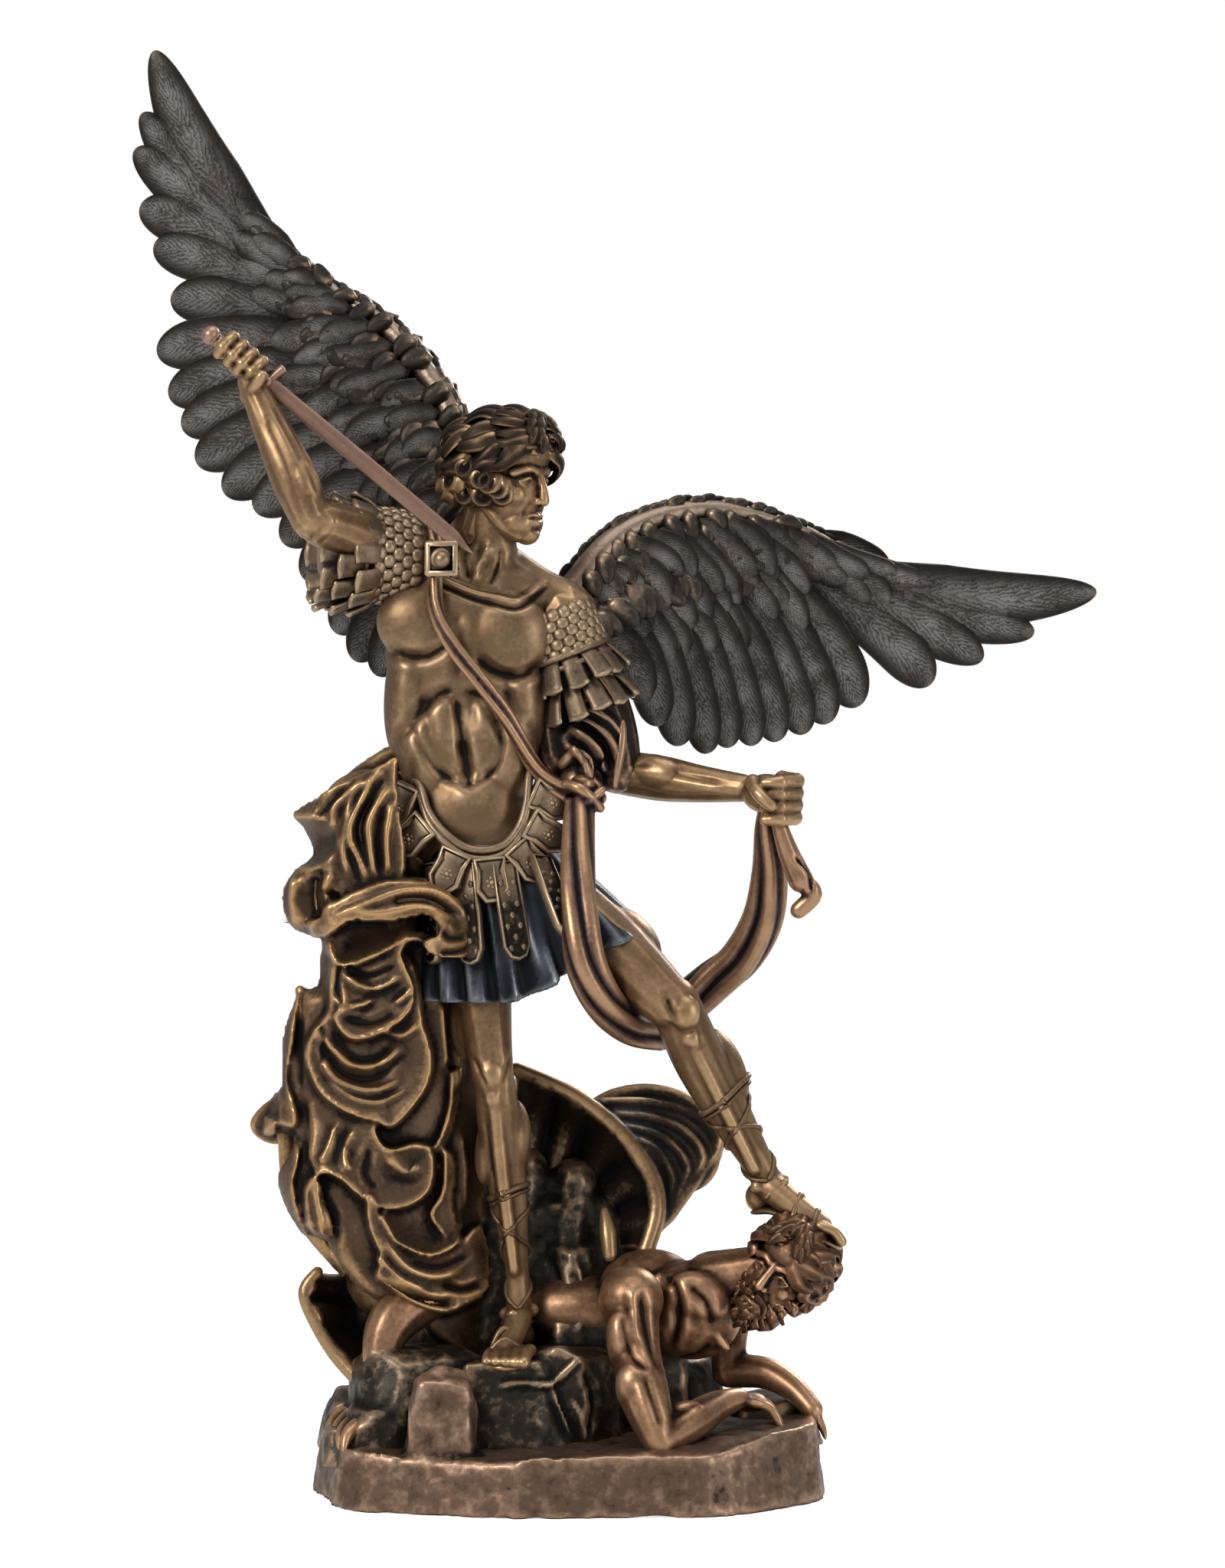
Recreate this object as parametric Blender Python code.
"""Winged archangel standing over a fallen demon on a rock base, as a small cast statue.

Everything is drawn in millimetres, +X to the viewer's right, -Y towards the viewer, +Z up,
with the origin under the middle of the base, and turned into metres at the end.
The figure is one casting. The two wings plug into sockets in its back, and the sword slides
through its right fist.
"""
import math
import random

import bmesh
import bpy
from mathutils import Matrix, Quaternion, Vector

MM = 0.001

# Driving sizes
STATUE_HEIGHT = 369.0
BASE_LENGTH = 130.0
BASE_DEPTH = 96.0
BASE_HEIGHT = 14.0
BASE_BEVEL = 1.6
FIT_GAP = 0.35

SWORD_LENGTH = 67.0
BLADE_WIDTH = 4.2
BLADE_THICKNESS = 1.7
BLADE_POINT = 7.0
GRIP_LENGTH = 18.5
GRIP_RADIUS = 1.5
POMMEL_RADIUS = 2.5
GUARD_LENGTH = 11.0
GUARD_RADIUS = 1.25

TENON_RADIUS = 4.0
TENON_LENGTH = 11.0
FEATHER_THICKNESS = 1.5
CLOTH_THICKNESS = 2.6

# The carving is drawn for a statue of this height on a base of this height, and follows both
DRAWN_HEIGHT = 369.0
DRAWN_BASE = 14.0

# Fineness of the carved solids
BODY_VOXEL = 0.7
WING_VOXEL = 0.5
BODY_TRIANGLES = 6350
WING_TRIANGLES = 1420
WING_CLEARANCE = 0.9

SHARE = (STATUE_HEIGHT - BASE_HEIGHT) / (DRAWN_HEIGHT - DRAWN_BASE)

# Where the heads and the sword lie
POSE = {
    "head": (-17.3, -1, 255.5),
    "demon_head": (56.5, -13, 57),
    "guard": (-75.1, -16, 277.8),
    "sword_tip": (-26.2, -16, 237.0),
}
HEAD_YAW = math.radians(58)
HEAD_PITCH = math.radians(9)
DEMON_YAW = math.radians(28)
DEMON_ROLL = math.radians(34)


def placed(point):
    """A drawn point at the statue's own size, standing on its base."""
    x, y, z = point
    return Vector((x * SHARE, y * SHARE, BASE_HEIGHT + (z - DRAWN_BASE) * SHARE))


def spline(points, steps):
    """A smooth run through the points, steps to a span, whatever numbers each point holds."""
    if len(points) < 3:
        steps = max(steps, 2)
    run = []
    last = len(points) - 1
    for span in range(last):
        before = points[max(span - 1, 0)]
        here, there = points[span], points[span + 1]
        after = points[min(span + 2, last)]
        for step in range(steps):
            t = step / steps
            run.append(tuple(
                0.5 * (2 * b + (c - a) * t + (2 * a - 5 * b + 4 * c - d) * t * t
                       + (3 * b - a - 3 * c + d) * t ** 3)
                for a, b, c, d in zip(before, here, there, after)))
    run.append(tuple(points[-1]))
    return run


def at_share(run, share):
    """The point this share of the way along a run."""
    place = min(max(share, 0.0), 1.0) * (len(run) - 1)
    low = min(int(place), len(run) - 2)
    return Vector(run[low]).lerp(Vector(run[low + 1]), place - low)


def frame_matrix(at, turn):
    return Matrix.Translation(placed(at)) @ turn.to_matrix().to_4x4()


class Clay:
    """Overlapping closed shapes that are later fused into one skin."""

    def __init__(self, frame=None):
        self.mesh = bmesh.new()
        self.strands = []
        self.frame = frame

    def put(self, point):
        """Where a drawn point goes: in the local frame of a head, or in the statue."""
        if self.frame is None:
            return placed(point)
        return self.frame @ (Vector(point) * SHARE)

    def ball(self, at, radii, turn=(0, 0, 0), detail=2):
        if not hasattr(radii, "__len__"):
            radii = (radii,) * 3
        matrix = Matrix.Translation(self.put(at))
        if self.frame is not None:
            matrix = matrix @ self.frame.to_3x3().to_4x4()
        for axis, angle in zip("XYZ", turn):
            matrix = matrix @ Matrix.Rotation(math.radians(angle), 4, axis)
        matrix = matrix @ Matrix.Diagonal((*[r * SHARE for r in radii], 1))
        bmesh.ops.create_icosphere(self.mesh, subdivisions=detail, radius=1, matrix=matrix)

    def tube(self, stations, steps=4, round_ends=True):
        """A round limb through stations of x, y, z and radius."""
        run = spline(stations, steps)
        self.strands.append([(self.put(s[:3]), s[3] * SHARE) for s in run])
        if round_ends:
            for x, y, z, radius in (stations[0], stations[-1]):
                self.ball((x, y, z), radius, detail=1)

    def band(self, stations, spread, count, steps=4):
        """A flat bundle of tubes side by side, as a gathered cloth is."""
        for n in range(count):
            offset = n - (count - 1) / 2
            self.tube([(x + offset * spread[0], y + offset * spread[1],
                        z + offset * spread[2], r) for x, y, z, r in stations], steps)

    def sheet(self, rows, thickness=CLOTH_THICKNESS, across=16, down=16, fold=None):
        """A cloth through rows of points, with an optional fold depth at (u, v)."""
        grid = bmesh.new()
        bmesh.ops.create_grid(grid, x_segments=across, y_segments=down, size=0.5)
        runs = [spline(row, 6) for row in rows]
        for vert in grid.verts:
            u, v = vert.co.x + 0.5, vert.co.y + 0.5
            column = spline([tuple(at_share(run, u)) for run in runs], 4)
            point = at_share(column, v)
            if fold:
                point = point + Vector(fold(u, v))
            vert.co = self.put(point)
        bmesh.ops.recalc_face_normals(grid, faces=grid.faces)
        bmesh.ops.solidify(grid, geom=grid.faces, thickness=thickness * SHARE)
        self.take(grid)

    def slab(self, at, down, facing, size, taper=1.0, round_end=0.0):
        """A flat plate hanging from `at`, size as width, thickness and length."""
        plate = bmesh.new()
        bmesh.ops.create_cube(plate, size=1)
        width, thick, length = [s * SHARE for s in size]
        down = Vector(down).normalized()
        across = down.cross(Vector(facing)).normalized()
        outer = across.cross(down)
        turned = Matrix((across, outer, -down)).transposed().to_4x4()
        matrix = Matrix.Translation(self.put(at)) @ turned
        for vert in plate.verts:
            low = vert.co.z < 0
            vert.co.x *= width * (taper if low else 1)
            vert.co.y *= thick
            vert.co.z = -length if low else 0
        bmesh.ops.transform(plate, matrix=matrix, verts=plate.verts)
        self.take(plate)
        if round_end:
            shape = Matrix.Diagonal((width * taper / 2, thick / 2, round_end * SHARE, 1))
            bmesh.ops.create_icosphere(
                self.mesh, subdivisions=2, radius=1,
                matrix=matrix @ Matrix.Translation((0, 0, -length)) @ shape)

    def scoop(self, rim, heart, depth, thickness=2.2):
        """A hollow swag of cloth: from a bright rim back and up to the heart of the hollow."""
        heart = Vector(heart)
        rows = []
        for step in range(5):
            share = step / 4
            row = []
            for point in rim:
                inward = Vector(point).lerp(heart, 0.82 * share)
                inward.y = point[1] + depth * math.sin(math.pi / 2 * share)
                row.append(tuple(inward))
            rows.append(row)
        self.sheet(rows, thickness=thickness, across=26, down=6)
        self.tube([(*p, thickness * 0.55) for p in rim], steps=3)

    def rock(self, at, size, seed, turn=0.0, rough=0.16):
        """A faceted boulder: the hull of a jittered block."""
        dice = random.Random(seed)
        stone = bmesh.new()
        for x in (-0.5, 0, 0.5):
            for y in (-0.5, 0, 0.5):
                for z in (-0.5, 0.1, 0.5):
                    wide = 1 - 0.22 * (z + 0.5)
                    shape = Vector((x * wide, y * wide, z)) * (0.86 if x * y * z else 1)
                    jitter = Vector([dice.uniform(-rough, rough) for _ in range(3)])
                    point = shape + jitter * 0.6
                    stone.verts.new([c * s * SHARE for c, s in zip(point, size)])
        bmesh.ops.convex_hull(stone, input=stone.verts)
        loose = [v for v in stone.verts if not v.link_faces]
        bmesh.ops.delete(stone, geom=loose, context="VERTS")
        matrix = Matrix.Translation(self.put(at)) @ Matrix.Rotation(math.radians(turn), 4, "Z")
        bmesh.ops.transform(stone, matrix=matrix, verts=stone.verts)
        self.take(stone)

    def take(self, other):
        """Adds another mesh and frees it."""
        mesh = bpy.data.meshes.new("piece")
        other.to_mesh(mesh)
        other.free()
        self.mesh.from_mesh(mesh)
        bpy.data.meshes.remove(mesh)

    def finish(self):
        """The clay as one mesh of overlapping closed shells."""
        if self.strands:
            self.mesh.from_mesh(strand_mesh(self.strands))
            self.strands = []
        mesh = bpy.data.meshes.new("clay")
        self.mesh.to_mesh(mesh)
        self.mesh.free()
        return mesh


def strand_mesh(strands, sides=3):
    """Round tubes along the strands, made by a bevelled curve."""
    curve = bpy.data.curves.new("strands", "CURVE")
    curve.dimensions = "3D"
    curve.bevel_depth = 1
    curve.bevel_resolution = sides
    curve.use_fill_caps = True
    for strand in strands:
        line = curve.splines.new("POLY")
        line.points.add(len(strand) - 1)
        for point, (place, radius) in zip(line.points, strand):
            point.co = (*place, 1)
            point.radius = radius
    helper = bpy.data.objects.new("strands", curve)
    bpy.context.scene.collection.objects.link(helper)
    mesh = evaluated(helper)
    bpy.data.objects.remove(helper)
    return mesh


def evaluated(obj):
    bpy.context.view_layer.update()
    return bpy.data.meshes.new_from_object(
        obj.evaluated_get(bpy.context.evaluated_depsgraph_get()))


def shaped(mesh, *steps):
    """The mesh after a run of modifiers, each a type and its settings."""
    helper = bpy.data.objects.new("helper", mesh)
    bpy.context.scene.collection.objects.link(helper)
    for kind, settings in steps:
        modifier = helper.modifiers.new(kind.title(), kind)
        for name, value in settings.items():
            setattr(modifier, name, value)
    result = evaluated(helper)
    bpy.data.objects.remove(helper)
    return result


def triangle_count(mesh):
    return sum(len(face.vertices) - 2 for face in mesh.polygons)


def largest_body(mesh):
    """The mesh without any island but its largest, its faces pointing out."""
    work = bmesh.new()
    work.from_mesh(mesh)
    bmesh.ops.triangulate(work, faces=work.faces)
    unseen = set(work.verts)
    islands = []
    while unseen:
        stack = [unseen.pop()]
        island = []
        while stack:
            vert = stack.pop()
            island.append(vert)
            for edge in vert.link_edges:
                other = edge.other_vert(vert)
                if other in unseen:
                    unseen.remove(other)
                    stack.append(other)
        islands.append(island)
    islands.sort(key=len)
    for island in islands[:-1]:
        bmesh.ops.delete(work, geom=island, context="VERTS")
    result = bpy.data.meshes.new("body")
    work.to_mesh(result)
    work.free()
    return result


def fused(mesh, voxel, triangles, smoothing):
    """One closed skin over the clay, thinned to about this many triangles."""
    skin = shaped(mesh, ("REMESH", {"mode": "VOXEL", "voxel_size": voxel * SHARE}),
                  ("SMOOTH", {"factor": 0.5, "iterations": smoothing}))
    skin = largest_body(skin)
    ratio = min(1.0, triangles / triangle_count(skin))
    return largest_body(shaped(skin, ("DECIMATE", {"ratio": ratio})))


def cut(mesh, cutter, operation="DIFFERENCE"):
    """The mesh cut by, or joined with, another."""
    tool = bpy.data.objects.new("cutter", cutter)
    bpy.context.scene.collection.objects.link(tool)
    result = shaped(mesh, ("BOOLEAN", {"operation": operation, "object": tool,
                                       "solver": "EXACT"}))
    bpy.data.objects.remove(tool)
    return result


# The archangel


def carve_torso(clay):
    """Muscled cuirass from the hips to the collar."""
    clay.ball((-27, 1, 213), (20, 12, 27))
    clay.ball((-24.5, 2, 228), (22.5, 9.5, 11), turn=(0, 17, 0))
    clay.ball((-26, 1, 189), (17.5, 10.5, 17))
    clay.ball((-22, 1, 162), (18.5, 12, 17))
    clay.ball((-37, -5.2, 219), (12.5, 6.4, 9.4), turn=(0, 6, 0))
    clay.ball((-17.5, -5.6, 216.5), (13, 6.4, 9.8), turn=(0, 10, 0))
    for side, x in ((-1, -43), (1, -10)):
        clay.ball((x, 1, 207), (5, 9, 16), turn=(0, -6 * side, 0))
        clay.ball((-26 + 13 * side, -3.5, 187), (5.5, 7, 14), turn=(0, 16 * side, 0))
    for x in (-30.4, -22.2):
        clay.ball((x, -6.8, 194), (4.8, 4.6, 10.5))
    clay.ball((-25.5, -6.5, 174), (12, 6, 13))
    clay.tube([(-18.8, 2, 224, 8.5), (-19.5, 1, 233, 6.6), (-19.5, 0, 244, 6.0)])
    clay.tube([(-20, 4, 236, 5), (-34, 4, 236, 6.4), (-44, 3, 236, 7.4)])
    clay.tube([(-18, 4, 235, 5), (-9, 4, 227, 6.4), (-2, 4, 223, 7)])


def carve_head(clay):
    """A plain classical head, drawn facing -Y round its own middle."""
    clay.ball((0, 2, 4), (10.2, 12, 11.5))
    clay.ball((0, -4, -4), (8.6, 8, 11))
    clay.ball((0, -5.5, -10.5), (6.6, 5.8, 5))
    clay.ball((0, -9.0, -14.2), (2.8, 2.4, 2.3))
    clay.ball((0, -4.5, 6), (8, 6.8, 6.5))
    clay.tube([(-6.3, -8.4, 2.2, 1.5), (0, -10.8, 2.4, 1.4), (6.3, -8.4, 2.2, 1.5)])
    clay.tube([(0, -10.9, 2.2, 1.1), (0, -12.4, -1.6, 1.2), (0, -13.7, -4.6, 1.6)])
    clay.ball((0, -11.6, -5.2), (2.6, 1.4, 1.1))
    clay.ball((0, -11.2, -9.2), (3.1, 1.5, 1.6))
    for side in (-1, 1):
        clay.ball((5.4 * side, -7.8, -3.2), (2.8, 2.3, 2.6))
        clay.ball((3.5 * side, -8.4, -0.4), 1.8)


def carve_hair(clay, seed, length, rows=3, strands=11):
    """Locks swept back from the brow to the nape."""
    dice = random.Random(seed)
    for row in range(rows):
        for n in range(strands):
            around = 2 * math.pi * (n + 0.5 * (row % 2)) / strands
            front = 0.5 - 0.5 * math.cos(around)
            start = math.radians(12 + 26 * row)
            end = start + math.radians((30 + 26 * (1 - front)) * length)
            stations = []
            for step in range(4):
                share = step / 3
                polar = start + (end - start) * share
                turn = around + 0.16 * math.sin(5 * share + dice.uniform(0, 3))
                reach = 1.0 + 0.10 * share
                stations.append((
                    11.4 * reach * math.sin(polar) * math.sin(turn),
                    1.8 + 13.2 * reach * math.sin(polar) * math.cos(turn),
                    4.0 + 12.6 * reach * math.cos(polar),
                    2.5 - 0.8 * share))
            clay.tube(stations, steps=2)


def carve_right_arm(clay):
    """Raised arm with its fist closed round the sword's grip."""
    clay.tube([(-45, 2, 235, 8.6), (-54, -9, 240, 7.4), (-62, -18, 243, 6)])
    clay.tube([(-64, -19.5, 243.5, 5.4), (-68.5, -19, 254, 5.9), (-74, -17.5, 266, 4.8),
               (-79.5, -16.2, 278, 3.4)])
    clay.ball((-81.5, -14.4, 283.4), (4.3, 3.6, 5.2), turn=(0, -30, 0))
    along = (Vector(POSE["sword_tip"]) - Vector(POSE["guard"])).normalized()
    front = Vector((0, -1, 0))
    upward = front.cross(along)
    if upward.z < 0:
        upward = -upward
    for finger in range(4):
        middle = Vector(POSE["guard"]) - along * (4.2 + 3.1 * finger)
        stations = []
        for step in range(6):
            angle = math.radians(205 - 50 * step)
            spot = middle + (front * math.cos(angle) + upward * math.sin(angle)) * 3.1
            stations.append((*spot, 1.5))
        clay.tube(stations, steps=2)
    thumb = Vector(POSE["guard"]) - along * 3
    clay.tube([(*(thumb + Vector((-2, 2.5, -4.5))), 1.9), (*(thumb + Vector((-1, -2.5, -3.6))), 1.7),
               (*(thumb + Vector((1, -4.2, 0))), 1.4)])


def carve_left_arm(clay):
    """Lowered arm with the forearm out to the side, its fist full of cloth."""
    clay.tube([(-1.5, 4, 221, 8.4), (6, 5.5, 201, 7), (12, 6, 184, 5.4)])
    clay.tube([(12.5, 6, 181, 5.6), (23, 2.4, 179.4, 5.8), (33, -3.4, 178, 4.8),
               (43.5, -10, 177, 3.7)])
    clay.ball((49, -12.5, 175.6), (6.2, 5.2, 5.2))
    for finger in range(4):
        z = 179.2 - 3.0 * finger
        reach = 1.0 - 0.06 * finger
        clay.tube([(50 + 4 * reach, -10.5, z, 2), (53.5 + 3 * reach, -14.5, z - 0.6, 2),
                   (51.5, -18.4, z - 1, 1.9), (48, -17.6, z - 1.2, 1.6)], steps=2)
    clay.tube([(46, -15, 178.5, 2), (47.5, -18.5, 175.5, 1.9), (50, -20, 172.5, 1.5)], steps=2)


def carve_legs(clay):
    """Straight right leg on the rock, left leg forward on the fallen head."""
    clay.tube([(-25.5, 1, 150, 10.5), (-22.5, -3, 127, 7.8), (-19.4, -7, 106, 5.5),
               (-17.6, -4.5, 92, 5.9), (-15.6, -3.6, 76, 5.0), (-13.4, -4.6, 57, 3.2),
               (-12.8, -5, 46, 3.5)])
    clay.ball((-19.4, -10, 105), (4, 3, 4.6))
    clay.ball((-12.6, -2.6, 39.5), (3.8, 4.8, 4.2))
    clay.tube([(-12.9, -7, 44, 3.5), (-14.4, -14, 39.8, 3.2), (-16, -20, 37.3, 2.9)])
    for toe in range(5):
        x = -20.4 + 2.35 * toe
        size = 1.35 + 0.14 * toe
        clay.tube([(x + 1.2, -18.5, 37.4, size), (x - 0.2, -25.2 - 0.5 * toe, 35.6, size)], steps=2)
    clay.tube([(-9, -2, 150, 12), (9, -12, 137.5, 9.6), (25.5, -19.5, 123, 6.8)])
    clay.tube([(25.8, -19, 124, 6.6), (32, -15, 110, 6.9), (39, -12, 97, 6),
               (45.4, -10.5, 86, 4.6), (49.4, -10, 78.5, 4.1)])
    clay.ball((28.4, -23, 121.5), (4.2, 3.4, 4.8))
    clay.ball((47.5, -7, 74.5), (4, 4.6, 4))
    clay.tube([(50.5, -11.5, 77, 3.9), (57, -14.4, 72, 3.5), (62.5, -16.4, 68.2, 3.1)])
    for toe in range(5):
        y = -19.6 + 2.1 * toe
        clay.tube([(62, y + 0.4, 68.4, 1.6), (67.4 - 0.5 * toe, y, 64.6, 1.45)], steps=2)


def skirt_point(around, drop):
    """A point of the kilt: around in turns from the back, drop from 0 at the belt to 1."""
    angle = 2 * math.pi * around
    side, away = math.sin(angle), math.cos(angle)
    right = max(side, 0)
    wide = 17.5 + 7.5 * drop + 7 * right * drop
    deep = 12 + 5.5 * drop + 3 * right * drop
    pleat = 1 + 0.085 * drop * math.sin(11 * angle)
    fall = 33 - 13 * right ** 2
    return (-21 + 5 * drop + side * wide * pleat,
            1 - 2.5 * drop * right + away * deep * pleat,
            163 - fall * drop)


CUIRASS_RIM = [(-43.4, -2, 179.5), (-37, -9.5, 174.5), (-32.5, -12, 165), (-26, -13.4, 160.4),
               (-19, -13.4, 160.4), (-14, -12.4, 166), (-12.4, -10.8, 176), (-8, -5, 183)]


def carve_skirt(clay):
    """Pleated kilt under a row of scalloped tabs and a row of long straps."""
    rows = [[skirt_point(n / 24, drop) for n in range(25)] for drop in (0, 0.35, 0.7, 1.0)]
    clay.sheet(rows, thickness=2.6, across=56, down=8)
    clay.tube([(*p, 2.1) for p in CUIRASS_RIM], steps=3)
    rim = spline(CUIRASS_RIM, 4)
    belly = Vector((-25, 0, 182))
    for n in range(8):
        share = 0.06 + 0.88 * n / 7
        at = at_share(rim, share)
        along = at_share(rim, min(share + 0.05, 1)) - at_share(rim, max(share - 0.05, 0))
        facing = Vector((0.9 * (at.x - belly.x) / 18, -1, 0)).normalized()
        down = along.cross(facing).normalized()
        if down.dot(at - belly) < 0:
            down = -down
        clay.slab(at + facing * 1.2 + down * 1.5, down + facing * 0.1, facing, (8.4, 3.6, 6.6),
                  taper=0.95, round_end=3.2)
    for n in range(9):
        around = 0.22 + 0.56 * n / 8
        start = Vector(skirt_point(around, 0.1))
        end = Vector(skirt_point(around, 0.72))
        facing = Vector((start.x + 20, start.y - 1, 0)).normalized()
        clay.slab(start + facing * 1.5, end - start, facing, (6.0, 3.8, (end - start).length),
                  round_end=2.6)


def carve_sleeve(clay, shoulder, along, facing, radius):
    """Scaled cap and two rows of lappets round the top of an arm."""
    along = Vector(along).normalized()
    side = along.cross(Vector(facing)).normalized()
    front = side.cross(along)
    middle = Vector(shoulder)
    for reach, swell, count, length in ((6.5, 0.6, 9, 7), (12.5, -0.2, 9, 8)):
        for n in range(count):
            angle = 2 * math.pi * (n + 0.5 * (reach > 8)) / count
            out = front * math.cos(angle) + side * math.sin(angle)
            start = middle + along * reach + out * (radius + swell)
            clay.slab(start, along + out * 0.28, out, (2 * math.pi * radius / count * 0.92, 3.0,
                                                     length * 0.75), round_end=length * 0.3)


def carve_sleeves(clay):
    """The two capped shoulders with their lappets."""
    clay.ball((-43.5, 0.5, 234), (10.2, 10.5, 11.5), turn=(0, -30, 0))
    carve_sleeve(clay, (-41, 2, 233), (-0.85, -0.4, -0.06), (0, -1, 0), 9.6)
    clay.ball((-3.2, 3.5, 217.5), (8.8, 9.8, 13), turn=(0, -14, 0))
    carve_sleeve(clay, (-3.5, 3.5, 218), (0.36, 0.05, -0.93), (0, -1, 0), 9.4)
    clay.tube([(-1.5, 4, 222, 8.6), (1.5, 4.5, 212, 9.2), (5, 5, 202, 8.4)])
    clay.tube([(-44, 1, 235, 9), (-50, -3, 236, 9), (-55, -8, 239, 8.2)])


def carve_sash(clay):
    """Narrow scarf: across the chest, knotted at the hip, round the thigh and up to the fist."""
    chest = [(-33, 10, 238, 1.7), (-34.5, 0, 243, 1.7), (-33.5, -9, 236, 1.7),
             (-33, -13.6, 221, 1.7), (-25.3, -15, 210.5, 1.8), (-18, -14.6, 200, 1.8),
             (-12.2, -11.6, 189.5, 1.9), (-6.5, -9.5, 181, 2), (0, -7.5, 175, 2.2)]
    clay.band(chest, (1.5, 0, 1.5), 2)
    clay.ball((-31.5, -10.5, 233.5), (4.4, 3, 4.4))
    for x, z, size in ((3, 178, 3.4), (6.4, 174.5, 3), (1.4, 171.5, 3)):
        clay.ball((x, -7, z), (size, size * 0.8, size * 0.8))
    hanging = [(2.4, -8, 173, 2.4), (2.6, -12.5, 160, 2.7), (3.4, -16.5, 147, 2.9),
               (5, -18, 134, 2.8), (9, -16.5, 124, 2.6), (15, -11, 116.5, 2.4),
               (22, -2, 114.5, 2.4)]
    clay.band(hanging, (2.8, 0.3, 0.9), 3)
    loop = [(22, -2, 115, 2.6), (28, 6, 121, 3), (35.5, 7, 127.5, 3), (43, 4, 134, 3),
            (48.4, -1, 144, 2.9), (50, -6, 156, 2.6), (49.4, -10, 167, 2.1), (50, -13, 174, 1.9)]
    clay.band(loop, (1.9, 0.4, -2.0), 3)
    clay.tube([(51.5, -15, 170, 1.8), (54, -15, 162, 2.6), (57.5, -14, 154, 3.2)])
    clay.tube([(57.5, -14, 154, 2.8), (60.6, -13.4, 150.5, 2.4), (57, -13, 146.5, 2.2)])


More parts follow.
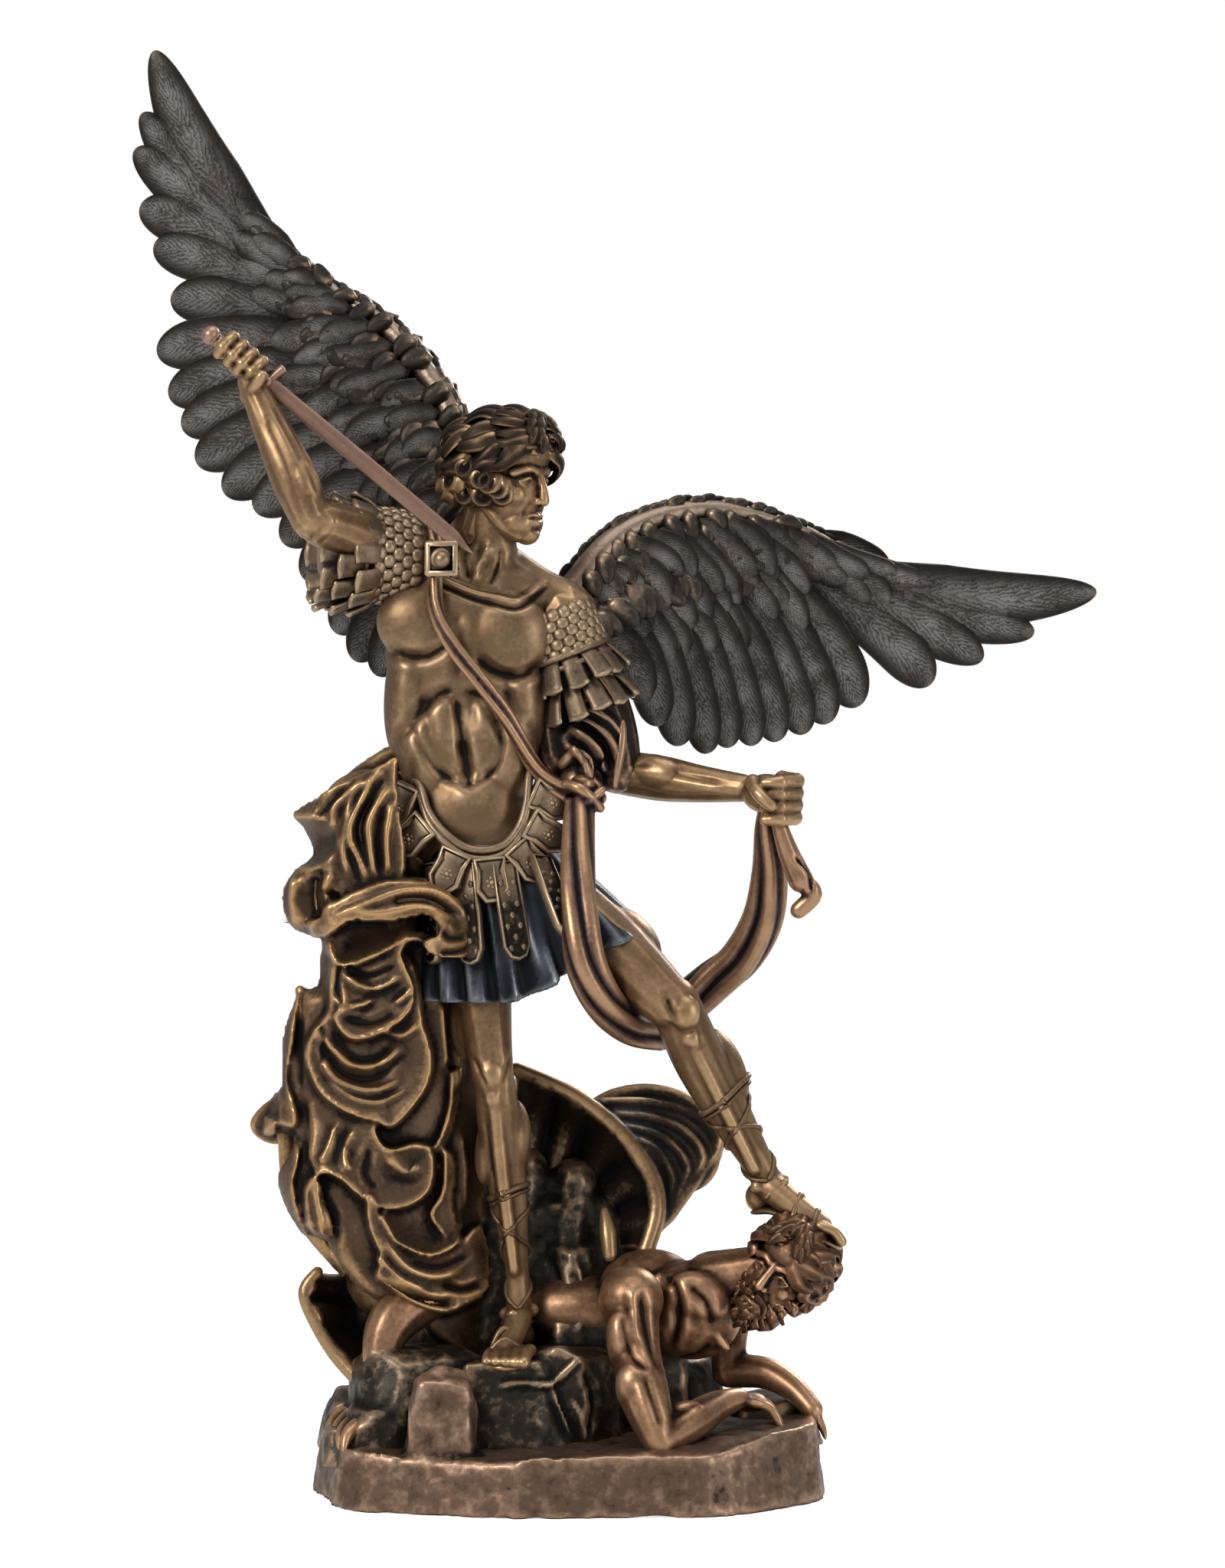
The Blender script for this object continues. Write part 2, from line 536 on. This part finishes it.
def carve_cloak(clay):
    """Heavy cloak from the back of the waist, blown out to the left and falling to the rock."""
    back = [
        [(-44, 6, 188), (-36, 13, 189), (-26, 14, 188), (-12, 12, 187)],
        [(-58, 6, 176), (-50, 12, 174), (-32, 16, 171), (-10, 14, 170)],
        [(-64, 5, 152), (-54, 13, 150), (-34, 19, 148), (-9, 16, 148)],
        [(-62, 5, 128), (-52, 13, 126), (-34, 19, 122), (-17, 14, 124)],
        [(-70, 5, 106), (-54, 14, 104), (-34, 19, 100), (-18, 12, 100)],
        [(-72, 5, 86), (-57, 14, 84), (-34, 18, 80), (-15, 12, 78)],
        [(-68, 3, 70), (-55, 12, 66), (-36, 16, 60), (-14, 12, 56)],
        [(-57, 0, 54), (-46, 10, 48), (-34, 12, 40), (-20, 12, 34)],
    ]
    clay.sheet(back, across=16, down=28,
               fold=lambda u, v: (0, 2.2 * math.sin(17 * u + 3 * v), 0))
    for at, radii in (((-40, 5, 160), (15, 9, 20)), ((-44, 4, 130), (16, 10, 24)),
                      ((-46, 3, 98), (19, 11, 24)), ((-46, 3, 72), (20, 10.5, 18)),
                      ((-38, 3, 54), (18, 10.5, 15))):
        clay.ball(at, radii)
    flare = [(-45, 6, 188, 1.4), (-57, 5, 180, 1.6), (-69.5, 1, 170.8, 1.6),
             (-66, -4, 168.4, 1.6), (-60, -7, 167.4, 1.6), (-58.4, -8, 163, 1.6),
             (-61, -7, 158.8, 1.6), (-68, -6, 155.6, 1.7), (-73, -7, 150.4, 1.8),
             (-71.6, -9, 144, 1.9), (-66, -12, 140.6, 1.8)]
    clay.tube(flare, steps=4)
    inner = [(x * 0.5 - 21, 3 + y * 0.2, z * 0.55 + 74) for x, y, z, _ in flare]
    clay.sheet([[p[:3] for p in flare], [(x - 4, y, z + 1) for x, y, z in inner], inner],
               across=36, down=6, thickness=2.2)
    clay.tube([(-55, 3, 178, 2), (-53, 0, 168, 2.4), (-52, -2, 158, 2.4)], steps=3)
    clay.tube([(-47, 2, 182, 2), (-48, -1, 170, 2.2), (-47, -3, 160, 2.2)], steps=3)
    roll_top = [(-66, -13, 142.6), (-58, -19, 149), (-48, -23, 153), (-38, -24.5, 153.6),
                (-30, -25, 150.8), (-25, -25, 146), (-20.6, -25.5, 139.4)]
    roll_low = [(-66, -12, 140), (-57, -17, 141.6), (-47, -21, 143.6), (-38, -23, 144),
                (-33, -24, 140), (-28.5, -25.5, 134.6), (-22, -26, 136.4)]
    middle = [tuple((Vector(a) + Vector(b)) / 2 + Vector((0, -3.4, 0)))
              for a, b in zip(roll_top, roll_low)]
    clay.sheet([[(x, y + 9, z - 1) for x, y, z in roll_top], roll_top, middle, roll_low,
                [(x, y + 9, z + 1) for x, y, z in roll_low]], across=26, down=12, thickness=2.6)
    clay.tube([(*p, 1.5) for p in roll_top], steps=3)
    clay.tube([(*p, 1.5) for p in roll_low], steps=3)
    clay.ball((-44, -10, 146), (17, 9, 6))
    clay.scoop([(-59, -14, 133), (-59.5, -18, 124), (-58, -20, 117), (-51, -21, 113.6),
                (-44, -20.5, 116), (-40, -19, 122.5), (-40.4, -18, 130), (-42.6, -17, 137)],
               (-50, -6, 132), 11)
    clay.scoop([(-60.5, -10, 126), (-63.6, -12, 117), (-66.4, -14, 108), (-64, -17, 99.6),
                (-56, -19, 95.6), (-46, -20, 92.4), (-41, -19.4, 95), (-36.4, -18, 102),
                (-35.2, -16, 112), (-37.4, -15, 124)],
               (-50, -3, 112), 12)
    clay.scoop([(-48.5, -18.6, 93), (-49.4, -19.4, 89.4), (-44, -19.4, 86), (-37, -18, 86.6),
                (-34.4, -17.4, 81), (-36, -18.4, 74), (-43, -19.4, 70.4), (-50, -19, 73),
                (-58, -17, 79), (-64, -14, 79), (-66.6, -10, 73), (-66.6, -8, 66)],
               (-52, -3, 86), 11)
    clay.scoop([(-64, -9, 68), (-58, -13, 62.6), (-50, -17, 58), (-42, -19, 60),
                (-38, -16, 64)], (-52, -4, 70), 8)
    clay.scoop([(-60, -8, 62), (-54, -13, 52), (-45, -18, 46.6), (-33, -19.4, 44.6),
                (-24, -17, 47), (-19, -13, 54), (-18.4, -11, 60)], (-40, -4, 60), 9)
    clay.tube([(-30.6, -10, 100, 1.6), (-31.6, -12, 90, 2), (-30, -12.4, 78, 2.4),
               (-33.6, -12, 66, 2.4), (-34, -13, 58, 1.8)], steps=3)
    clay.tube([(-71.4, 2, 126, 1.8), (-73.4, 2, 116, 1.8), (-72, 3, 104, 1.7),
               (-76, 5, 96, 1.6), (-79.6, 6, 92, 1.6), (-76, 6, 88.6, 1.6), (-70, 4, 88.6, 1.8)])
    clay.sheet([[(-72, 2, 127), (-73.4, 2, 116), (-72.4, 3, 104), (-79, 6, 92), (-71, 4, 87)],
                [(-62, 8, 127), (-62, 9, 116), (-61, 10, 104), (-61, 11, 94), (-61, 9, 86)]],
               across=14, down=5, thickness=2.4)
    clay.tube([(-70, 3, 88, 2.4), (-74, 2, 80, 2.2), (-74.6, 1, 74, 2), (-71.4, 0, 67, 2),
               (-63, -4, 62, 1.8)])


# The fallen demon and the rock


def carve_demon(clay):
    """Demon lying under the foot, propped on one elbow."""
    clay.ball((30, -5, 46), (13.5, 10, 12.5), turn=(0, 20, 0))
    clay.ball((20, 0, 51), (13, 9, 10))
    clay.ball((4, 4, 45), (16, 9, 9))
    clay.ball((32, -12, 50), (8.5, 4.5, 6.5), turn=(0, 15, 0))
    clay.ball((15.2, -19, 50), (8.2, 8.6, 8.6))
    clay.tube([(15, -20, 49, 7.4), (16, -26, 38, 6.6), (19.6, -33, 25, 5), (22.2, -36, 18, 4.3)])
    clay.tube([(22.2, -36, 17.6, 4.2), (29, -29, 20.4, 4.8), (36, -20, 23.6, 3.9),
               (42, -14, 25, 2.9)])
    clay.ball((45, -11, 23.6), (4.6, 3.4, 2.8))
    for finger in range(4):
        clay.tube([(45, -9 - 1.8 * finger, 24, 1.5), (49.5, -9 - 2.2 * finger, 22.5, 1.3),
                   (52, -9 - 2.4 * finger, 18.4, 1.1)], steps=2)
    clay.ball((41, 0, 51), (7.5, 7.5, 8))
    clay.tube([(41, 2, 48, 6), (40, 8, 38, 5), (40, 8, 30, 4.4)])
    clay.tube([(40, 8, 29, 4.4), (49, 5, 29, 4.2), (56, 1, 25.6, 3.4), (61, -3, 20.6, 2.8)])
    for finger in range(3):
        clay.tube([(60, -2 + 2 * finger, 21.4, 1.5), (63, -5 + 2 * finger, 17, 1.3)], steps=2)
    clay.tube([(35, -6, 54, 7), (45, -9, 56, 6.4), (52, -11, 58, 6)])


def carve_demon_limbs(clay):
    """The wing, leg and claws that show at the left of the rock, and the wing between the legs."""
    rim = [(-63.7, -1, 55, 1.6), (-66.8, -2, 50.5, 1.8), (-65, -3, 44.5, 1.8),
           (-59, -5, 35, 2), (-51, -8, 27, 2.2)]
    clay.tube(rim)
    clay.sheet([[p[:3] for p in rim],
                [(-57, 8, 54), (-57, 9, 49), (-55, 9, 43), (-51, 6, 34), (-46, 2, 27)],
                [(-48, 3, 55), (-47, 4, 49), (-46, 4, 42), (-43, 2, 33), (-40, -2, 27)]],
               across=9, down=8, thickness=2.2)
    clay.tube([(-36, -4, 50, 7), (-44, -10, 44, 6.4), (-47, -13, 37, 5), (-46.5, -15, 29, 4)])
    clay.tube([(-46.5, -14, 29, 4), (-48, -18, 23, 3.8), (-52, -22, 18, 3.4)])
    for toe in range(4):
        clay.tube([(-50 - 2.2 * toe, -20 + 2.6 * toe, 21, 2.1),
                   (-54.5 - 1.6 * toe, -26 + 4 * toe, 17.6, 2),
                   (-55.5 - 1.4 * toe, -29 + 4.6 * toe, 14, 1.4)], steps=2)
    ridge = [(-14, 12, 105.5, 1.7), (-5, 11, 101.8, 1.8), (3, 10, 97.6, 2), (12.5, 8.6, 89.6, 2.3),
             (19.8, 7, 79.5, 2.7), (21.8, 5, 70, 2.5), (19, 2, 60, 2.3)]
    clay.tube(ridge)
    clay.sheet([[p[:3] for p in ridge],
                [(-16, 18, 92), (-9, 20, 89), (-2, 20, 86), (5, 19, 80), (10, 17, 73),
                 (12, 14, 66), (11, 10, 58)],
                [(-16, 14, 68), (-12, 15, 66), (-8, 15, 64), (-4, 14, 60), (0, 12, 57),
                 (2, 10, 54), (4, 8, 50)]],
               across=14, down=12, thickness=2.4,
               fold=lambda u, v: (0, 1.4 * v * (1 - v) * 4 * math.sin(16 * u), 0))
    for path in (((-15, 10, 88), (-4, 12, 86), (8, 11, 82)), ((-14, 8, 78), (-2, 9, 76), (10, 9, 77)),
                 ((-12, 7, 70), (-5, 6, 65), (2, 6, 66), (9, 6, 71)),
                 ((6, 4, 70), (7.6, 2, 64), (8.4, 0, 58))):
        clay.tube([(*point, 1.9) for point in path], steps=3)
    fold = [(2, 20, 90, 2.6), (10, 22, 94.6, 3), (20, 23.4, 95.8, 3), (30, 23, 92.6, 3),
            (36.4, 21.6, 85.8, 2.9), (34.4, 19.4, 80, 2.6), (27, 16, 76, 2.4), (20, 10, 68, 2.4)]
    clay.band(fold, (-0.8, -0.6, -2.5), 3)


def base_outline():
    """The plan of the base, an uneven oval with chipped corners."""
    shares = (1.0, 0.97, 1.03, 0.95, 1.02, 0.98, 1.04, 0.96, 1.0, 1.03, 0.97, 1.02, 0.96, 1.03,
              0.99, 1.02, 0.96, 1.01)
    corners = []
    for n, share in enumerate(shares):
        angle = 2 * math.pi * n / len(shares)
        squared = (abs(math.cos(angle)) ** 3 + abs(math.sin(angle)) ** 3) ** (-1 / 3)
        reach = share * squared
        corners.append((BASE_LENGTH / 2 * reach * math.cos(angle),
                        BASE_DEPTH / 2 * reach * math.sin(angle)))
    widest = max(abs(x) for x, _ in corners)
    deepest = max(abs(y) for _, y in corners)
    return [(x * BASE_LENGTH / 2 / widest, y * BASE_DEPTH / 2 / deepest) for x, y in corners]


def carve_base(clay):
    """The slab under everything, flat below, with a broken edge above."""
    slab = bmesh.new()
    ring = [slab.verts.new((x, y, 0)) for x, y in base_outline()]
    slab.faces.new(ring)
    made = bmesh.ops.extrude_face_region(slab, geom=slab.faces[:])
    top = [v for v in made["geom"] if isinstance(v, bmesh.types.BMVert)]
    for n, vert in enumerate(top):
        vert.co.x *= 0.965
        vert.co.y *= 0.955
        vert.co.z = BASE_HEIGHT + 1.3 * math.sin(2.3 * n) + 3.2 * max(vert.co.x / BASE_LENGTH, 0)
    bmesh.ops.recalc_face_normals(slab, faces=slab.faces)
    bmesh.ops.bevel(slab, geom=[e for e in slab.edges if e.calc_face_angle(0) > 0.7
                                and max(v.co.z for v in e.verts) > BASE_HEIGHT / 2],
                    offset=BASE_BEVEL, segments=1, affect="EDGES", profile=0.5)
    clay.take(slab)


def carve_rocks(clay):
    """Boulders: the pillar at the left, the block under the foot, and what lies round them."""
    stones = (
        ((-31.5, -33, 19.5), (18, 12, 27), 2, 4), ((-14, -12, 22), (34, 34, 25), 5, 12),
        ((-1, -10, 24), (26, 28, 26), 9, -20), ((-38, -8, 24), (34, 34, 26), 14, 30),
        ((-46, -16, 17), (22, 22, 14), 21, 10), ((10, 8, 28), (38, 30, 36), 3, 15),
        ((-20, 16, 24), (52, 28, 34), 8, 0), ((24, 12, 22), (34, 26, 22), 12, 40),
        ((-52, 8, 17), (24, 28, 14), 17, 0), ((50, 12, 16), (26, 26, 12), 31, 20),
        ((-54, -16, 14), (16, 18, 10), 41, 0), ((-6, 14, 50), (36, 20, 44), 23, 10),
        ((4, 12, 42), (26, 20, 36), 27, 35),
    )
    for at, size, seed, turn in stones:
        clay.rock(at, size, seed, turn)


def head_frame(at, yaw, pitch, roll=0.0):
    turn = Quaternion((0, 1, 0), roll) @ Quaternion((0, 0, 1), yaw) @ Quaternion((1, 0, 0), pitch)
    return frame_matrix(at, turn)


def figure_clay():
    """All that is cast in one with the figure."""
    clay = Clay()
    for carve in (carve_torso, carve_right_arm, carve_left_arm, carve_legs, carve_skirt,
                  carve_sleeves, carve_sash, carve_cloak, carve_demon, carve_demon_limbs,
                  carve_base, carve_rocks):
        carve(clay)
    heads = (
        (head_frame(POSE["head"], HEAD_YAW, HEAD_PITCH), 7, 1.0),
        (head_frame(POSE["demon_head"], DEMON_YAW, 0.2, DEMON_ROLL), 11, 1.1),
    )
    meshes = [clay.finish()]
    for frame, seed, length in heads:
        head = Clay(frame)
        carve_head(head)
        carve_hair(head, seed, length)
        meshes.append(head.finish())
    whole = bmesh.new()
    for mesh in meshes:
        whole.from_mesh(mesh)
    joined = bpy.data.meshes.new("figure")
    whole.to_mesh(joined)
    whole.free()
    return joined


# The wings

RIGHT_WING = {
    "arm": [(-33, 14, 229), (-30, 14, 243), (-28.1, 15, 257), (-29, 17, 267), (-33, 19, 277),
            (-39, 21, 286), (-46, 23, 294), (-54.4, 25, 300), (-60.4, 27, 304),
            (-68.5, 29, 310.2), (-78.2, 32, 318), (-84.7, 35, 327.8), (-91, 38, 339),
            (-96.7, 40, 349.3), (-102.4, 43, 358.7)],
    "roots": [(-36, 12, 229), (-35.5, 14, 240), (-36.5, 16, 250), (-40, 18, 260),
              (-45, 21, 269.5), (-51, 23, 278), (-57, 25, 286), (-64, 27, 295),
              (-69.5, 29, 302.4), (-73, 31, 308), (-76, 32, 313)],
    "tips": [(-49.6, 15, 205.6), (-55.6, 17, 209.7), (-60.8, 19, 217), (-65, 21, 224.5),
             (-69.1, 23, 231), (-74.6, 25, 240.6), (-82, 27, 249), (-90, 29, 253.7),
             (-97.3, 31, 261.6), (-101, 33, 270.6), (-104.6, 34, 279), (-107.6, 35, 290.4),
             (-104.3, 38, 304.4), (-108.7, 40, 318.4), (-112.4, 41, 329), (-114, 43, 343.5),
             (-112.4, 44, 353), (-109.4, 46, 369.4)],
    "hand": 0.66, "tenon": (-32.5, 4, 229), "tenon_out": (0, 1, 0),
}
LEFT_WING = {
    "arm": [(-9, 15, 216), (1.2, 14, 229), (7.9, 16, 237.3), (13.5, 19, 242.1),
            (20.4, 22, 245.6), (28.5, 25, 248), (37.3, 28, 248.7), (45.2, 30, 247.6),
            (54.2, 33, 245.4), (62.2, 35, 242.4), (72.5, 38, 237), (86, 41, 231.5),
            (98.6, 44, 227.8), (110.8, 46, 226), (121, 48, 226)],
    "roots": [(7, 13, 222), (13, 17, 227), (20, 21, 230.4), (27, 24, 232), (34, 27, 233.4),
              (41, 30, 234), (48, 32, 234.4), (55, 34, 235), (62, 36, 235), (68, 38, 233)],
    "tips": [(19.5, 20, 199), (22.8, 23, 193), (28.2, 26, 187.8), (35.3, 29, 185.9),
             (41, 31, 187.4), (47.3, 33, 188), (53.6, 35, 189), (60.6, 37, 191),
             (67, 39, 193.8), (75, 41, 198.4), (94.2, 44, 204.4), (107.4, 46, 210.6),
             (121, 48, 217.4), (137.4, 50, 228.2)],
    "hand": 0.62, "tenon": (-9.5, 4, 216), "tenon_out": (0, 1, 0),
}
BLADE = ((0.0, 0.5), (0.35, 0.88), (0.72, 1.0), (0.9, 0.86), (0.97, 0.55), (1.0, 0.2))


def feather(mesh, root, tip, width, lift, sweep, lean):
    """One feather: a closed blade with a raised quill, a round tip and one edge proud."""
    root, tip = placed(root), placed(tip)
    along = tip - root
    across = along.cross(Vector((0, 1, 0))).normalized()
    outward = across.cross(along).normalized()
    blade = bmesh.new()
    rings = []
    for share, fullness in BLADE:
        middle = root + along * share + across * along.length * sweep * math.sin(math.pi * share)
        half = width * SHARE / 2 * fullness
        thick = FEATHER_THICKNESS * SHARE * (1 - 0.3 * share) / 2
        tilt = outward * lean * SHARE * fullness
        spots = (across * half + outward * thick * 0.4 + tilt, outward * thick * 1.4,
                 -across * half + outward * thick * 0.4 - tilt,
                 -across * half - outward * thick * 0.4 - tilt,
                 -outward * thick * 1.4, across * half - outward * thick * 0.4 + tilt)
        rings.append([blade.verts.new(middle + outward * lift * SHARE + spot) for spot in spots])
    for low, high in zip(rings, rings[1:]):
        for n in range(6):
            blade.faces.new((low[n], low[(n + 1) % 6], high[(n + 1) % 6], high[n]))
    blade.faces.new(rings[0][::-1])
    blade.faces.new(rings[-1])
    bmesh.ops.recalc_face_normals(blade, faces=blade.faces)
    copy = bpy.data.meshes.new("feather")
    blade.to_mesh(copy)
    blade.free()
    mesh.from_mesh(copy)
    bpy.data.meshes.remove(copy)


def wing_mesh(wing, side):
    """Arm, flight feathers and coverts of one wing, still as separate shells."""
    arm = spline(wing["arm"], 4)
    roots = spline(wing["roots"], 4)
    tips = wing["tips"]
    last = len(tips) - 1
    shells = Clay()
    core = [[tuple(at_share(arm, wing["hand"] * n / 12)) for n in range(13)],
            [tuple(at_share(roots, n / 12)) for n in range(13)],
            [tuple(at_share(roots, n / 12).lerp(at_share(tips, n / 12), 0.45)) for n in range(13)]]
    shells.sheet(core, thickness=2.4, across=24, down=8)
    for n, tip in enumerate(tips):
        share = n / last
        root = at_share(roots, share)
        near = Vector(tips[max(n - 1, 0)])
        far = Vector(tips[min(n + 1, last)])
        spacing = (far - near).length / (min(n + 1, last) - max(n - 1, 0))
        width = min(max(1.3 * spacing, 8.5), 12.5)
        if n == last:
            width = 8.0
        feather(shells.mesh, root, tip, width, 0.3 * (n % 2), -side * 0.05, side * 0.5)
    for count, start, reach, width, lift in ((12, 0.5, 0.45, 9.4, 1.6), (12, 0.1, 0.16, 8.4, 2.6),
                                             (13, 0.0, -0.12, 7.0, 3.4)):
        for n in range(count):
            share = (n + 0.5) / count
            low = at_share(roots, share)
            high = at_share(arm, share * wing["hand"])
            out = at_share(tips, share) - low
            root = high.lerp(low, start)
            tip = low + out * reach if reach > 0 else high.lerp(low, 0.85)
            for face in (-1, 1):
                feather(shells.mesh, root, tip, width * (1 - 0.2 * share), face * lift,
                        -side * 0.03, side * 0.4)
    joints = len(wing["arm"]) - 1
    shells.tube([(*p, 4.4 - 3.2 * (n / joints) ** 0.8) for n, p in enumerate(wing["arm"])], steps=4)
    x, y, z = wing["arm"][0]
    shells.ball((x, y - 1, z), (6, 4.4, 8.5))
    shells.ball((x + 2 * side, y - 0.5, z + 5), (5, 4, 8), turn=(0, 18 * side, 0))
    return shells.finish()


def tenon(wing, gap=0.0):
    """The round peg that holds a wing, or with a gap its socket in the back."""
    outward = Vector(wing["tenon_out"]).normalized()
    turn = outward.to_track_quat("Z", "Y").to_matrix().to_4x4()
    peg = bmesh.new()
    bmesh.ops.create_cone(
        peg, cap_ends=True, segments=14, radius1=TENON_RADIUS + gap, radius2=TENON_RADIUS + gap,
        depth=TENON_LENGTH + 2 * gap,
        matrix=Matrix.Translation(placed(wing["tenon"]) + outward * TENON_LENGTH / 2) @ turn)
    mesh = bpy.data.meshes.new("tenon")
    peg.to_mesh(mesh)
    peg.free()
    return mesh


# The sword


def sword_mesh(gap=0.0):
    """Blade, guard, grip and pommel in one, or with a gap the space they need."""
    guard = placed(POSE["guard"])
    along = (placed(POSE["sword_tip"]) - guard).normalized()
    turn = along.to_track_quat("Z", "Y").to_matrix().to_4x4()
    matrix = Matrix.Translation(guard) @ turn
    across = (turn.to_3x3().inverted() @ Vector((0, 1, 0))).normalized()
    flat = math.atan2(across.y, across.x)
    twist = Matrix.Rotation(flat + math.pi / 2, 4, "Z")
    shape = bmesh.new()
    half, thick = BLADE_WIDTH / 2 + gap, BLADE_THICKNESS / 2 + gap
    stations = ((-2, 0.72), (SWORD_LENGTH * 0.4, 1.0), (SWORD_LENGTH - BLADE_POINT, 0.92),
                (SWORD_LENGTH + gap, 0.08))
    rings = []
    for z, share in stations:
        rings.append([shape.verts.new(twist @ Vector((x, y, z))) for x, y in (
            (half * share, 0), (0, thick * max(share, 0.3)),
            (-half * share, 0), (0, -thick * max(share, 0.3)))])
    for low, high in zip(rings, rings[1:]):
        for n in range(4):
            shape.faces.new((low[n], low[(n + 1) % 4], high[(n + 1) % 4], high[n]))
    shape.faces.new(rings[0][::-1])
    shape.faces.new(rings[-1])
    bmesh.ops.recalc_face_normals(shape, faces=shape.faces)
    blade = bpy.data.meshes.new("sword")
    shape.to_mesh(blade)
    shape.free()
    rods = (
        (GRIP_RADIUS + gap, GRIP_LENGTH + 2 * gap, Matrix.Translation((0, 0, -GRIP_LENGTH / 2))),
        (GUARD_RADIUS + gap, GUARD_LENGTH + 2 * gap,
         twist @ Matrix.Rotation(math.pi / 2, 4, "Y")),
    )
    for radius, length, place in rods:
        rod = bmesh.new()
        bmesh.ops.create_cone(rod, cap_ends=True, segments=8, radius1=radius, radius2=radius,
                              depth=length, matrix=place)
        mesh = bpy.data.meshes.new("rod")
        rod.to_mesh(mesh)
        rod.free()
        blade = cut(blade, mesh, "UNION")
    knob = bmesh.new()
    bmesh.ops.create_icosphere(knob, subdivisions=1, radius=POMMEL_RADIUS + gap,
                               matrix=Matrix.Translation((0, 0, -GRIP_LENGTH)))
    mesh = bpy.data.meshes.new("knob")
    knob.to_mesh(mesh)
    knob.free()
    blade = cut(blade, mesh, "UNION")
    blade.transform(matrix)
    return blade


# Assembly


def finish(name, mesh, colour, roughness, metallic):
    """A named object in metres with its own material."""
    mesh.transform(Matrix.Scale(MM, 4))
    mesh.name = name
    mesh.shade_smooth()
    mesh.set_sharp_from_angle(angle=math.radians(38))
    material = bpy.data.materials.new(name)
    material.use_nodes = True
    shader = material.node_tree.nodes["Principled BSDF"]
    shader.inputs["Base Color"].default_value = (*colour, 1)
    shader.inputs["Roughness"].default_value = roughness
    shader.inputs["Metallic"].default_value = metallic
    mesh.materials.clear()
    mesh.materials.append(material)
    obj = bpy.data.objects.new(name, mesh)
    bpy.context.scene.collection.objects.link(obj)
    return obj


def flat_below(mesh):
    """The mesh cut off level at the underside of the base."""
    box = bmesh.new()
    side = STATUE_HEIGHT * 2
    bmesh.ops.create_cube(box, size=side, matrix=Matrix.Translation((0, 0, -side / 2)))
    cutter = bpy.data.meshes.new("floor")
    box.to_mesh(cutter)
    box.free()
    return cut(mesh, cutter)


def main():
    for old in list(bpy.data.objects):
        bpy.data.objects.remove(old)
    clay = figure_clay()
    figure = fused(clay.copy(), BODY_VOXEL, BODY_TRIANGLES, 2)
    swollen = shaped(clay, ("REMESH", {"mode": "VOXEL", "voxel_size": BODY_VOXEL * SHARE}),
                     ("SMOOTH", {"factor": 0.5, "iterations": 3}),
                     ("DISPLACE", {"strength": WING_CLEARANCE, "mid_level": 0.0}))
    swollen = fused(swollen, BODY_VOXEL, BODY_TRIANGLES, 0)
    figure = flat_below(figure)
    wings = {}
    for name, wing, side in (("wing_right", RIGHT_WING, -1), ("wing_left", LEFT_WING, 1)):
        carved = fused(wing_mesh(wing, side), WING_VOXEL, WING_TRIANGLES, 1)
        carved = largest_body(cut(carved, swollen))
        wings[name] = largest_body(cut(carved, tenon(wing), "UNION"))
        figure = cut(figure, tenon(wing, FIT_GAP))
    figure = largest_body(cut(figure, sword_mesh(FIT_GAP)))
    finish("figure", figure, (0.33, 0.2, 0.1), 0.36, 0.9)
    finish("wing_right", wings["wing_right"], (0.09, 0.085, 0.08), 0.42, 0.85)
    finish("wing_left", wings["wing_left"], (0.09, 0.085, 0.08), 0.42, 0.85)
    finish("sword", sword_mesh(), (0.5, 0.3, 0.2), 0.34, 0.9)


main()
